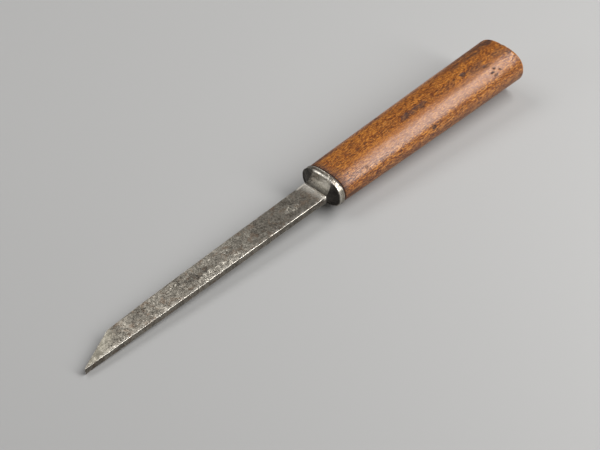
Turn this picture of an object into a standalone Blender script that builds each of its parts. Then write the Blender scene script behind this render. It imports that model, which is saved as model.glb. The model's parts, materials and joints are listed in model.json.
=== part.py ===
"""Oval-bolstered mortise chisel, lying on its side.

A deep, narrow blade of forged iron carries a strip of cutting steel along its flat back.
It swells into an oval bolster, and a tapered square tang runs on from the bolster into a
one-piece oval beech handle. A thin leather washer lies between the two. Nothing moves.

Tool frame: +X from the cutting edge to the butt, +Y from the flat back to the spine, +Z out
of the upper cheek, origin on the flat back at the middle of the cutting edge. All parts
hang from the empty tool_axis, which tips that frame until the tool lies on the plane Z = 0,
touching it at the cutting edge's corner and at the bolster's rim.
"""

import math

import bmesh
import bpy
from mathutils import Vector

MM = 0.001

# Blade
RIM_FRONT = 181.0 * MM  # cutting edge to the front plane of the bolster's rim
BLADE_END = 176.2 * MM  # cutting edge to the crease where the bolster starts
EDGE_WIDTH = 4.2 * MM  # width of cut, and thickness of the back at the edge
ROOT_THICKNESS = 4.7 * MM  # thickness of the back at the crease
EDGE_LAND = 0.12 * MM  # depth of the blade at the worn cutting edge
HONE_LENGTH = 0.8 * MM  # the steep facet honed at the edge
HONE_DEPTH = 1.03 * MM
BEVEL_LENGTH = 25.2 * MM
HEEL_DEPTH = 12.9 * MM  # depth of the blade where the bevel starts
ROOT_DEPTH = 17.7 * MM  # depth of the blade at the crease
SPINE_EASE = 0.66  # below 1, the spine rises faster near the heel
SPINE_NARROWING = 0.22  # the spine is thinner than the back by this share
ARRIS_RADIUS = 0.35 * MM
LIP_LENGTH = 3.5 * MM  # stretch of cheek that swells up to the crease
LIP_RISE = 0.35 * MM

# Laid steel along the flat back
STEEL_LENGTH = 132.0 * MM
STEEL_DEPTH = 3.2 * MM
SCARF_LENGTH = 16.0 * MM  # tapered end of the weld

# Bolster
AXIS_OFFSET = 9.4 * MM  # flat back to the middle line of bolster, tang and handle
RIM_HALF_WIDTH = 15.7 * MM
RIM_HALF_HEIGHT = 10.0 * MM
RIM_THICKNESS = 3.45 * MM
RIM_ROUNDING = 0.4 * MM
NECK_INSET = 0.45 * MM  # the bolster's neck starts this far inside the blade's section
NECK_HEIGHT_SHARE = 0.80  # neck height over the blade's spine thickness
FLARE_SWEEP = math.radians(78)  # arc of the hollow that climbs from neck to rim

# Tang
TANG_LENGTH = 72.0 * MM
TANG_ROOT = (9.0 * MM, 7.4 * MM)
TANG_TIP = (3.6 * MM, 3.2 * MM)

# Washer and handle
WASHER_THICKNESS = 0.6 * MM
WASHER_HALF = (15.1 * MM, 9.4 * MM)
BUTT_END = 343.2 * MM  # cutting edge to the butt
FRONT_HALF = (15.3 * MM, 9.45 * MM)
BUTT_HALF = (17.9 * MM, 11.8 * MM)
HANDLE_SWELL = (0.25 * MM, 0.2 * MM)  # how far the middle stands outside a straight taper
HANDLE_LEAN = 0.5 * MM  # the middle of the butt sits this far to the spine's side
FRONT_ROUNDING = 0.5 * MM
BUTT_ROUNDING = 2.6 * MM

GAP = 0.25 * MM  # between faces of neighbouring parts
TANG_CLEARANCE = 0.3 * MM

OVAL_POWER = 2.4  # 2 is an ellipse, and a higher power is squarer
NECK_POWER = 7.0
TANG_POWER = 9.0
OVAL_POINTS = 48
HANDLE_POINTS = 56
HOLE_POINTS = 16
OVERSHOOT = 2.0 * MM  # how far a cutter runs past what it cuts

RIM_BACK = RIM_FRONT + RIM_THICKNESS
WASHER_FRONT = RIM_BACK + GAP
HANDLE_FRONT = WASHER_FRONT + WASHER_THICKNESS + GAP


def clear_scene():
    for obj in list(bpy.data.objects):
        bpy.data.objects.remove(obj, do_unlink=True)


def new_collection(name):
    collection = bpy.data.collections.new(name)
    bpy.context.scene.collection.children.link(collection)
    return collection


def material(name, colour, roughness, metallic):
    made = bpy.data.materials.new(name)
    made.use_nodes = True
    shader = made.node_tree.nodes["Principled BSDF"]
    shader.inputs["Base Color"].default_value = (*colour, 1.0)
    shader.inputs["Roughness"].default_value = roughness
    shader.inputs["Metallic"].default_value = metallic
    return made


def between(start, end, share):
    return start + (end - start) * share


def oval(x, centre_y, half_y, half_z, power, count):
    """One ring of a superellipse at x, from +Y round through +Z."""
    ring = []
    for i in range(count):
        angle = math.tau * (i + 0.5) / count
        across = math.copysign(abs(math.cos(angle)) ** (2 / power), math.cos(angle))
        up = math.copysign(abs(math.sin(angle)) ** (2 / power), math.sin(angle))
        ring.append(Vector((x, centre_y + half_y * across, half_z * up)))
    return ring


def loft(name, rings, collection, parent, look=None):
    """A closed solid through rings that have equal numbers of points."""
    edit = bmesh.new()
    loops = [[edit.verts.new(point) for point in ring] for ring in rings]
    for near, far in zip(loops, loops[1:]):
        for i, corner in enumerate(near):
            j = (i + 1) % len(near)
            edit.faces.new((corner, near[j], far[j], far[i]))
    edit.faces.new(loops[0])
    edit.faces.new(loops[-1])
    bmesh.ops.recalc_face_normals(edit, faces=edit.faces)
    mesh = bpy.data.meshes.new(name)
    edit.to_mesh(mesh)
    edit.free()
    if look is not None:
        mesh.materials.append(look)
    mesh.shade_smooth()
    mesh.set_sharp_from_angle(angle=math.radians(32))
    obj = bpy.data.objects.new(name, mesh)
    collection.objects.link(obj)
    obj.parent = parent
    return obj


def as_cutter(obj):
    obj.hide_render = True
    obj.display_type = "WIRE"
    return obj


def boolean(target, operand, operation):
    modifier = target.modifiers.new(operand.name, "BOOLEAN")
    modifier.operation = operation
    modifier.solver = "EXACT"
    modifier.object = operand


def blade_depth(x):
    """Distance from the flat back to the honed facet, the bevel or the spine."""
    if x < HONE_LENGTH:
        return between(EDGE_LAND, HONE_DEPTH, x / HONE_LENGTH)
    if x < BEVEL_LENGTH:
        return between(HONE_DEPTH, HEEL_DEPTH, (x - HONE_LENGTH) / (BEVEL_LENGTH - HONE_LENGTH))
    share = (x - BEVEL_LENGTH) / (BLADE_END - BEVEL_LENGTH)
    return between(HEEL_DEPTH, ROOT_DEPTH, share**SPINE_EASE)


def cheek_height(x, y):
    """Half the blade's thickness. Each cheek is one plane, as x and y enter it linearly."""
    along = between(EDGE_WIDTH, ROOT_THICKNESS, x / BLADE_END) / 2
    return along - SPINE_NARROWING * ROOT_THICKNESS / 2 * y / ROOT_DEPTH


def corner_arc(x, y_face, inward, radius, side, rise):
    """Three points round one long arris, from the narrow face onto the cheek."""
    points = []
    for step in range(3):
        angle = step * math.pi / 4
        y = y_face + inward * radius * (1 - math.cos(angle))
        z = cheek_height(x, y) + rise - radius * (1 - math.sin(angle))
        points.append(Vector((x, y, side * z)))
    return points


def blade_ring(x, rise=0.0):
    """Section of the blade: flat back, two cheeks, and the bevel or spine."""
    depth = blade_depth(x)
    back_radius = min(ARRIS_RADIUS, depth / 4)
    top_radius = ARRIS_RADIUS if x > BEVEL_LENGTH else back_radius / 2
    ring = corner_arc(x, 0.0, 1, back_radius, 1, rise)
    ring += reversed(corner_arc(x, depth, -1, top_radius, 1, rise))
    ring += corner_arc(x, depth, -1, top_radius, -1, rise)
    ring += reversed(corner_arc(x, 0.0, 1, back_radius, -1, rise))
    return ring


def blade_rings():
    lip_start = BLADE_END - LIP_LENGTH
    stations = [0.0, HONE_LENGTH, BEVEL_LENGTH * 0.96]
    steps = 9
    for step in range(steps + 1):
        stations.append(between(BEVEL_LENGTH, lip_start, (step / steps) ** 1.7))
    rings = [blade_ring(x) for x in stations]
    rings.append(blade_ring(BLADE_END, LIP_RISE))
    return rings


def steel_outline(gap):
    """The weld's outline in X and Y, moved off the steel by gap, and open at the back."""
    depth = STEEL_DEPTH + gap
    run_per_depth = SCARF_LENGTH / STEEL_DEPTH
    shift = gap * math.hypot(1, run_per_depth)
    end_at = STEEL_LENGTH + shift
    return [
        (-OVERSHOOT, -OVERSHOOT),
        (-OVERSHOOT, depth),
        (end_at - run_per_depth * depth, depth),
        (end_at + run_per_depth * OVERSHOOT, -OVERSHOOT),
    ]


def steel_cutter(name, gap, collection, parent):
    reach = ROOT_THICKNESS
    outline = steel_outline(gap)
    rings = [[Vector((x, y, z)) for x, y in outline] for z in (-reach, reach)]
    return as_cutter(loft(name, rings, collection, parent))


def tang_half(share, clearance):
    half_y = between(TANG_ROOT[0], TANG_TIP[0], share) / 2 + clearance
    half_z = between(TANG_ROOT[1], TANG_TIP[1], share) / 2 + clearance
    return half_y, half_z


def bolster_rings():
    """Neck inside the blade, hollow flare, rounded rim, flat back face, tang."""
    neck_y = ROOT_DEPTH / 2 - NECK_INSET
    spine_half = ROOT_THICKNESS * (1 - SPINE_NARROWING) / 2
    neck_z = spine_half * NECK_HEIGHT_SHARE
    lip_y = RIM_HALF_WIDTH - RIM_ROUNDING
    lip_z = RIM_HALF_HEIGHT - RIM_ROUNDING
    rings = [oval(BLADE_END - OVERSHOOT, ROOT_DEPTH / 2, neck_y, neck_z, NECK_POWER, OVAL_POINTS)]
    steps = 7
    for step in range(steps + 1):
        angle = FLARE_SWEEP * step / steps
        forward = math.sin(angle) / math.sin(FLARE_SWEEP)
        climb = (1 - math.cos(angle)) / (1 - math.cos(FLARE_SWEEP))
        rings.append(
            oval(
                between(BLADE_END, RIM_FRONT, forward),
                between(ROOT_DEPTH / 2, AXIS_OFFSET, climb),
                between(neck_y, lip_y, climb),
                between(neck_z, lip_z, climb),
                between(NECK_POWER, OVAL_POWER, climb),
                OVAL_POINTS,
            )
        )
    rim = (AXIS_OFFSET, RIM_HALF_WIDTH, RIM_HALF_HEIGHT, OVAL_POINTS)
    rings += rounded_edge(RIM_FRONT, 1, RIM_ROUNDING, *rim)[1:]
    rings += reversed(rounded_edge(RIM_BACK, -1, RIM_ROUNDING, *rim))
    for share in (0.0, 1.0):
        x = between(RIM_BACK, RIM_BACK + TANG_LENGTH, share)
        half_y, half_z = tang_half(share, 0.0)
        rings.append(oval(x, AXIS_OFFSET, half_y, half_z, TANG_POWER, OVAL_POINTS))
    return rings


def rounded_edge(x_face, inward, radius, centre_y, half_y, half_z, count, steps=2):
    """Rings round an oval's edge, from its end face at x_face onto its full size."""
    rings = []
    for step in range(steps + 1):
        angle = math.pi / 2 * step / steps
        x = x_face + inward * radius * (1 - math.cos(angle))
        inset = radius * (1 - math.sin(angle))
        rings.append(oval(x, centre_y, half_y - inset, half_z - inset, OVAL_POWER, count))
    return rings


def tang_hole(name, clearance, collection, parent):
    """Cutter for the tang's hole: the tang's own taper, wider all round and deeper."""
    end_share = 1 + OVERSHOOT / TANG_LENGTH
    rings = []
    for share in (-OVERSHOOT / TANG_LENGTH, end_share):
        x = between(RIM_BACK, RIM_BACK + TANG_LENGTH, share)
        half_y, half_z = tang_half(share, clearance)
        rings.append(oval(x, AXIS_OFFSET, half_y, half_z, TANG_POWER, HOLE_POINTS))
    return as_cutter(loft(name, rings, collection, parent))


def handle_section(x):
    """Centre and half sizes of the handle's oval at x."""
    share = (x - HANDLE_FRONT) / (BUTT_END - HANDLE_FRONT)
    bulge = 4 * share * (1 - share)
    half_y = between(FRONT_HALF[0], BUTT_HALF[0], share) + HANDLE_SWELL[0] * bulge
    half_z = between(FRONT_HALF[1], BUTT_HALF[1], share) + HANDLE_SWELL[1] * bulge
    return AXIS_OFFSET + HANDLE_LEAN * share, half_y, half_z


def handle_rings():
    front = handle_section(HANDLE_FRONT)
    rings = rounded_edge(HANDLE_FRONT, 1, FRONT_ROUNDING, *front, HANDLE_POINTS)
    steps = 10
    for step in range(1, steps):
        x = between(HANDLE_FRONT, BUTT_END, step / steps)
        rings.append(oval(x, *handle_section(x), OVAL_POWER, HANDLE_POINTS))
    end = handle_section(BUTT_END)
    butt = rounded_edge(BUTT_END, -1, BUTT_ROUNDING, *end, HANDLE_POINTS, steps=4)
    return rings + list(reversed(butt))


def washer_rings():
    edge = WASHER_THICKNESS / 3
    outline = (AXIS_OFFSET, *WASHER_HALF, OVAL_POINTS)
    front = rounded_edge(WASHER_FRONT, 1, edge, *outline, steps=1)
    back_face = WASHER_FRONT + WASHER_THICKNESS
    back = rounded_edge(back_face, -1, edge, *outline, steps=1)
    return front + list(reversed(back))


def lay_on_bench(root, parts):
    """Tip the tool onto its two points of contact, and centre its footprint on the origin."""
    drop = RIM_HALF_HEIGHT - EDGE_WIDTH / 2
    root.rotation_euler.y = -math.atan2(drop, RIM_FRONT + RIM_ROUNDING)
    bpy.context.view_layer.update()
    graph = bpy.context.evaluated_depsgraph_get()
    points = []
    for part in parts:
        evaluated = part.evaluated_get(graph)
        points += [evaluated.matrix_world @ corner.co for corner in evaluated.data.vertices]
    low, high = ([pick(p[axis] for p in points) for axis in range(3)] for pick in (min, max))
    root.location = (-(low[0] + high[0]) / 2, -(low[1] + high[1]) / 2, -low[2])


def build():
    clear_scene()
    parts = new_collection("mortise_chisel")
    cutters = new_collection("mortise_chisel_cutters")
    root = bpy.data.objects.new("tool_axis", None)
    parts.objects.link(root)

    iron = material("forged_iron", (0.21, 0.19, 0.17), 0.42, 1.0)
    steel = material("cutting_steel", (0.27, 0.26, 0.24), 0.36, 1.0)
    beech = material("oiled_beech", (0.33, 0.13, 0.04), 0.45, 0.0)
    leather = material("dark_leather", (0.05, 0.028, 0.018), 0.8, 0.0)

    hole = tang_hole("tang_hole", TANG_CLEARANCE, cutters, root)
    strip = steel_cutter("steel_strip", 0.0, cutters, root)
    strip_seat = steel_cutter("steel_seat", GAP, cutters, root)
    bolster = as_cutter(loft("bolster_and_tang", bolster_rings(), cutters, root))

    forging = loft("iron_forging", blade_rings(), parts, root, iron)
    boolean(forging, strip_seat, "DIFFERENCE")
    boolean(forging, bolster, "UNION")

    laid_steel = loft("laid_steel", blade_rings(), parts, root, steel)
    boolean(laid_steel, strip, "INTERSECT")

    washer = loft("leather_washer", washer_rings(), parts, root, leather)
    boolean(washer, hole, "DIFFERENCE")

    handle = loft("handle", handle_rings(), parts, root, beech)
    boolean(handle, hole, "DIFFERENCE")

    lay_on_bench(root, [forging, laid_steel, washer, handle])


build()
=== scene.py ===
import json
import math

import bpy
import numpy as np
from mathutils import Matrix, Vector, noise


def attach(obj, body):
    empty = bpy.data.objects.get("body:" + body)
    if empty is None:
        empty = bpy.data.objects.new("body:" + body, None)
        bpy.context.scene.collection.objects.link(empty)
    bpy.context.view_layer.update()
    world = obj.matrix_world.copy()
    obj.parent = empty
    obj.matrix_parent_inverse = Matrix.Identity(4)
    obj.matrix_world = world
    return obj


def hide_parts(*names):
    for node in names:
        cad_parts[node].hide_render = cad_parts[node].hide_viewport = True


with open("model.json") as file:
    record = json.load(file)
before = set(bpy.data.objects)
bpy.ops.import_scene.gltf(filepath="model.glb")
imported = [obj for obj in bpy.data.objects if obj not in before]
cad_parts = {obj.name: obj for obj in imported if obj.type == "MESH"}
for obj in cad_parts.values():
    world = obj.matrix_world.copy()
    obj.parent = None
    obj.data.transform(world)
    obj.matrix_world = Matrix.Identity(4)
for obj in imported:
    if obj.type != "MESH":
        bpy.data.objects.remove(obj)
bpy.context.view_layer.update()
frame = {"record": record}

# The looks of an old oval-bolstered mortise chisel, lying on its side.
#
# Each of the four imported solids is replaced by a fine mesh of the same shape: the forged iron with
# its bolster and tang, the steel laid along the flat back, the leather washer and the beech handle.
# Shapes are worked out in the tool's own frame, in millimetres: x from the cutting edge to the
# butt, y from the flat back to the spine, z out of the upper cheek. The imported mounts say where
# that frame lies. Every vertex keeps its x, y, z in the attribute "tool", and the materials are
# patterns of it. Further attributes, from 0 to 1, say where a surface differs:
#   wear    rubbed bright, and on the iron also painted highlight on the lip, the spine's corner and the bolster's hollow
#   grime   dark with dirt, and also painted shade on the flat back's face, on the bolster's near and far sides, and on the handle's far edge and lower near side
#   worn    on iron, the patina has gone patchy; on wood, the flecks stand out
#   ground  on iron, the surface is ground smooth
#   cut     on wood, the end grain shows
#   smooth  on wood, the hand has polished the figure faint, and the colour there is lightened partly as a
#   painted highlight

MM = 0.001

# Blade
RIM_FRONT = 181.0
BLADE_END = 176.2
EDGE_WIDTH = 4.2
ROOT_THICKNESS = 4.7
EDGE_LAND = 0.12
HONE_LENGTH = 0.8
HONE_DEPTH = 1.03
BEVEL_LENGTH = 25.2
HEEL_DEPTH = 12.9
ROOT_DEPTH = 17.7
SPINE_EASE = 0.66
SPINE_NARROWING = 0.22
ARRIS_RADIUS = 0.35
BEVEL_RADIUS = 0.12
LIP_LENGTH = 9.0
LIP_RISE = 0.45
LIP_POWER = 2.2
LIP_FALL = 0.7  # the lip turns down to half its rise over this last stretch
CREASE_SLANT = 0.6  # the crease runs this much nearer to the edge on the flat back's side
SLANT_REACH = 16.0

# Laid steel
STEEL_LENGTH = 132.0
STEEL_DEPTH = 3.2
SCARF_LENGTH = 16.0
SCARF_TIP = 0.4  # too thin to be modelled
WELD_GAP = 0.01
WELD_RADIUS = 0.03
WELD_REACH = 0.09  # points this near to the weld belong to it

# Bolster
AXIS_OFFSET = 9.4
RIM_HALF = np.array((15.7, 10.0))
RIM_THICKNESS = 3.45
RIM_ROUNDING = 0.4
NECK_INSET = 0.45
NECK_HEIGHT_SHARE = 0.80
FLARE_START = math.radians(35)  # slope of the hollow at the neck and at the rim
FLARE_END = math.radians(78)
HIPS = np.radians((57, 129, 231, 303, 417))  # where the bolster's four sides meet at the rim
TOP_SIDE = 0  # sides are numbered from the one between the first two hips
NEAR_SIDE = 1
FAR_SIDE = 3
SIDE_FLATNESS = (0.50, 0.14, 0.50, 0.14)
CREASE_WIDTH = 0.12
CHAMFER = 0.7
CHAMFER_REACH = 2.4
RIM_FLATS = 17
FLAT_DEPTH = 0.16

# Tang
TANG_LENGTH = 72.0
TANG_ROOT = np.array((9.0, 7.4)) / 2
TANG_TIP = np.array((3.6, 3.2)) / 2

# Washer and handle
GAP = 0.25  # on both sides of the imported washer
WASHER_THICKNESS = 0.6
WASHER_HALF = np.array((15.1, 9.4))
WASHER_INSET = 0.1
WASHER_BULGE = 0.18
SEAM_PLAY = 0.03  # air that is left when the fine washer fills the seam
BUTT_END = 343.2
FRONT_HALF = np.array((15.3, 9.45))
BUTT_HALF = np.array((17.9, 11.8))
HANDLE_SWELL = np.array((0.25, 0.2))
HANDLE_LEAN = 0.5
FRONT_ROUNDING = 0.5
BUTT_ROUNDING = 2.6
TANG_CLEARANCE = 0.3
HOLE_END_CLEARANCE = 2.0

OVAL_POWER = 2.4
TANG_POWER = 9.0

RIM_BACK = RIM_FRONT + RIM_THICKNESS
WASHER_FRONT = RIM_BACK + GAP
HANDLE_FRONT = WASHER_FRONT + WASHER_THICKNESS + GAP
HOLE_END = RIM_BACK + TANG_LENGTH + HOLE_END_CLEARANCE

SAFE_INSET = 0.04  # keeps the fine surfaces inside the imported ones' flat facets
BLADE_ROOM = 0.08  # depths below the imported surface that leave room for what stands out
BOLSTER_ROOM = 0.10
HANDLE_ROOM = 0.12
WASHER_ROOM = 0.08

# How fine the meshes are, in points round a ring and in rings along a stretch
CORNER_STOPS = np.array((0.0, 0.3, 0.65))  # places on a section's rounded corner
IRON_COUNTS = (56, 26, 26)  # points down a cheek, across the back and across the spine
IRON_STATIONS = 480
STEEL_COUNTS = (16, 20, 20)
STEEL_STATIONS = 430
FLARE_STEPS = 40
RIM_EDGE_STEPS = 5
RIM_RINGS = 12
RIM_BACK_STEPS = 4
BACK_FACE_RINGS = 12
TANG_RINGS = 20
HANDLE_COLUMNS = 232
HANDLE_STATIONS = 338
HOLE_RINGS = 17
HOLE_TIP_SHARE = 0.3  # the face that closes the hole, as a share of it
FRONT_FACE_RINGS = 16
FRONT_EDGE_STEPS = 4
BUTT_EDGE_STEPS = 12
BUTT_FACE_RINGS = 36
BUTT_TIP_SHARE = 0.03
WASHER_COLUMNS = 240
WASHER_EDGE_RINGS = 9
OUTLINE_POINTS = 4097


# ---------------------------------------------------------------- tool frame

mounts = {mount["name"]: mount for mount in frame["record"]["mounts"]}
ALONG = Vector(mounts["butt"]["axis"]).normalized()
ACROSS = -Vector(mounts["flat_back"]["axis"]).normalized()
UP = ALONG.cross(ACROSS)
BUTT_MIDDLE = ALONG * BUTT_END + ACROSS * (AXIS_OFFSET + HANDLE_LEAN)
ORIGIN = Vector(mounts["butt"]["pos_m"]) - BUTT_MIDDLE * MM
AXES = np.array((ALONG, ACROSS, UP))


def to_row(points):
    """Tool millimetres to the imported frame's metres."""
    return np.array(ORIGIN) + np.asarray(points) * MM @ AXES


# ---------------------------------------------------------------- number helpers


def between(start, end, share):
    return start + (end - start) * share


def ease(value, low, high):
    """0 below low, 1 above high, and smooth between them; low may be the larger."""
    share = np.clip((value - low) / (high - low), 0.0, 1.0)
    return share * share * (3 - 2 * share)


def zone(value, start, end, fade):
    """1 between start and end, fading to 0 outside them."""
    return ease(value, start - fade, start + fade) * ease(value, end + fade, end - fade)


def cloud(points, size, octaves, shift=0.0, stretch=(1, 1, 1)):
    """Fractal noise, about -1 to 1, with features about size millimetres across."""
    scaled = (points * stretch + shift) / size
    return np.array([noise.fractal(p, 0.7, 2.0, octaves) for p in scaled.tolist()])


def cells(points, size, shift):
    """Distance to the nearest of scattered points, in cell sizes."""
    scaled = (points + shift) / size
    return np.array([noise.voronoi(p)[0][0] for p in scaled.tolist()])


# ---------------------------------------------------------------- mesh helpers


def ring_faces(rings, columns, looped):
    """Quads between neighbouring rings, which either loop back or end in one face each."""
    first = np.arange(rings if looped else rings - 1)[:, None] * columns
    second = (first + columns) % (rings * columns)
    here = np.arange(columns)[None, :]
    after = (here + 1) % columns
    quads = np.stack((first + here, first + after, second + after, second + here), -1)
    faces = quads.reshape(-1, 4).tolist()
    if not looped:
        faces.append(list(range(columns))[::-1])
        faces.append(list(range((rings - 1) * columns, rings * columns)))
    return faces


def make_piece(name, rings, look, node, fields, sharp_angle=50, looped=False):
    """A closed mesh through rings of points in the tool frame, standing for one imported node."""
    count, columns, _ = rings.shape
    points = rings.reshape(-1, 3)
    mesh = bpy.data.meshes.new(name)
    mesh.from_pydata(to_row(points).tolist(), [], ring_faces(count, columns, looped))
    mesh.update()
    tool = mesh.attributes.new("tool", "FLOAT_VECTOR", "POINT")
    tool.data.foreach_set("vector", points.astype(np.float32).ravel())
    for label, values in fields.items():
        field = mesh.attributes.new(label, "FLOAT", "POINT")
        field.data.foreach_set("value", np.clip(values, 0, 1).astype(np.float32).ravel())
    mesh.materials.append(look)
    mesh.shade_smooth()
    mesh.set_sharp_from_angle(angle=math.radians(sharp_angle))
    piece = bpy.data.objects.new(name, mesh)
    bpy.context.scene.collection.objects.link(piece)
    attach(piece, "root")
    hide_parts(node)


def turn_directions(half, power, count):
    """Angles of directions from an oval's middle that space points evenly round it."""
    fine = np.linspace(0, math.tau, OUTLINE_POINTS)
    outline = polar_oval(half, power, np.stack((np.cos(fine), np.sin(fine)), -1))
    length = np.concatenate(([0], np.cumsum(np.linalg.norm(np.diff(outline, axis=0), axis=1))))
    return np.interp(np.arange(count) / count * length[-1], length, fine)


def polar_oval(half, power, directions):
    """Points of a superellipse in the given directions."""
    scaled = np.abs(directions / half) ** power
    return directions * (scaled.sum(-1) ** (-1 / power))[..., None]


def oval_ring(x, centre_y, half, power, angles):
    directions = np.stack((np.cos(angles), np.sin(angles)), -1)
    section = polar_oval(np.asarray(half), power, directions)
    return np.column_stack((np.full(len(angles), x), section[:, 0] + centre_y, section[:, 1]))


# ---------------------------------------------------------------- blade sections


def blade_depth(x):
    if x < HONE_LENGTH:
        return between(EDGE_LAND, HONE_DEPTH, x / HONE_LENGTH)
    if x < BEVEL_LENGTH:
        return between(HONE_DEPTH, HEEL_DEPTH, (x - HONE_LENGTH) / (BEVEL_LENGTH - HONE_LENGTH))
    share = (x - BEVEL_LENGTH) / (BLADE_END - BEVEL_LENGTH)
    return between(HEEL_DEPTH, ROOT_DEPTH, share**SPINE_EASE)


def cheek_height(x, y):
    along = between(EDGE_WIDTH, ROOT_THICKNESS, x / BLADE_END) / 2
    return along - SPINE_NARROWING * ROOT_THICKNESS / 2 * y / ROOT_DEPTH


def weld_depth(x):
    """How deep the laid steel is, from the flat back to the weld."""
    return STEEL_DEPTH * np.clip((STEEL_LENGTH - x) / SCARF_LENGTH, 0.0, 1.0)


def stops(length, near, far, count):
    """Distances along one side of a section, crowded at its rounded corners."""
    near = min(near, length / 3)
    far = min(far, length / 3)
    middle = np.linspace(near, length - far, count - 2 * len(CORNER_STOPS))
    return np.concatenate((near * CORNER_STOPS, middle, length - far * CORNER_STOPS[::-1]))[:-1]


def blade_section(x, low, high, low_radius, high_radius, counts, rise=0.0):
    """One ring of the blade between y = low and y = high, and which way its surface faces."""
    cheek, back, spine = counts
    low_radius = min(low_radius, (high - low) / 3)
    high_radius = min(high_radius, (high - low) / 3)
    down = high - stops(high - low, high_radius, low_radius, cheek)
    low_half = cheek_height(x, low) + rise
    high_half = cheek_height(x, high) + rise
    inward = low_half - stops(2 * low_half, low_radius, low_radius, back)
    rising = low + stops(high - low, low_radius, high_radius, cheek)
    outward = -high_half + stops(2 * high_half, high_radius, high_radius, spine)
    y = np.concatenate((down, np.full(len(inward), low), rising, np.full(len(outward), high)))
    half = cheek_height(x, y) + rise
    side = [1.0] * len(down) + [0.0] * len(inward) + [-1.0] * len(rising) + [0.0] * len(outward)
    z = np.array(side) * half
    z[len(down) : len(down) + len(inward)] = inward
    z[-len(outward) :] = outward
    radius = np.where(y < (low + high) / 2, low_radius, high_radius)
    core_y = np.clip(y, low + low_radius, high - high_radius)
    core_z = np.clip(z, radius - half, half - radius)
    facing = np.column_stack((y - core_y, z - core_z))
    facing /= np.linalg.norm(facing, axis=1)[:, None]
    y = core_y + radius * facing[:, 0]
    z = core_z + radius * facing[:, 1]
    return np.column_stack((np.full(len(y), x), y, z)), np.column_stack((np.zeros(len(y)), facing))


# ---------------------------------------------------------------- blade surface


# Patterns of fractal noise: size of the features, octaves and shift
HAMMER_MARKS = (17.0, 2)
DIMPLES = (4.5, 2, 40.0)
PITTED_AREAS = (16.0, 2, 7.0)
PIT_GROUPS = (6.0, 2, 11.0)
FLAKES = (2.6, 4, 90.0)
NICKS = (1.8, 2, 55.0)
RUBS = (2.2, 3, 61.0)
RAGGED_EDGES = (3.0, 3, 35.0)
BLADE_PITS = (1.5, 3.0)  # scattered cells: their size and shift

HAMMER_DEPTH = 0.11
DIMPLE_DEPTH = 0.035
PIT_DEPTH = 0.09
FLAKE_DEPTH = 0.05
NICK_DEPTH = 0.12
KNOB_RISE = 0.35  # a worn lump of metal at the root of the flat back's upper arris
KNOB_SIZE = (1.1, 1.3)
BLOTCHED = (84.0, 112.0, 6.0)  # from and to along the blade, and the fade at both ends
ROOT_SMOOTH = (160.0, 166.0)  # from 0 at the first place to 1 at the second, as in every such pair
PATCHY_BLADE = (128.0, 118.0)
SIDEWAYS = (0.8, 0.98)  # how squarely a face looks one way
CORNERED = (0.05, 0.4)  # how far a face looks two ways

PALE_PATCHES = (
    # place along, height over the flat back, half length, half width
    (70.5, 11.8, 4.5, 1.6),
    (107.0, 10.0, 2.2, 1.8),
    (97.0, 11.5, 2.0, 1.2),
    (156.5, 7.5, 5.5, 2.4),
)
DULL_PATCHES = (
    (84.5, 8.3, 11.0, 3.0),
    (46.0, 9.0, 8.0, 2.0),
    (166.0, 11.0, 3.5, 5.0),
)


def patches_at(points, patches):
    """1 inside ragged patches seen from the cheek's side, 0 outside them."""
    x, y, _ = points.T
    ragged = 1 + 0.4 * cloud(points, *RAGGED_EDGES)
    share = np.zeros(len(points))
    for place, height, half_length, half_width in patches:
        away = np.hypot((x - place) / half_length, (y - height) / half_width) * ragged
        share = np.maximum(share, ease(away, 1.2, 0.7))
    return share


def at_weld(x, y):
    """1 on the faces and corners where the iron and the laid steel meet, 0 elsewhere."""
    weld = weld_depth(x)
    deep = np.array([blade_depth(place) for place in x])
    inside = (weld > 0.15) * (weld < deep - 0.05)
    return (np.abs(y - weld) < WELD_REACH) * inside * 1.0


def ground_area(x, y):
    """1 along the bevel, where grinding has smoothed the cheek, and 0 far below and behind it."""
    over_bevel = y - x * HEEL_DEPTH / BEVEL_LENGTH
    return ease(x, 1.0, 5.0) * ease(over_bevel, -11.0, -2.0) * ease(x, 30.0, 23.0)


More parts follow.
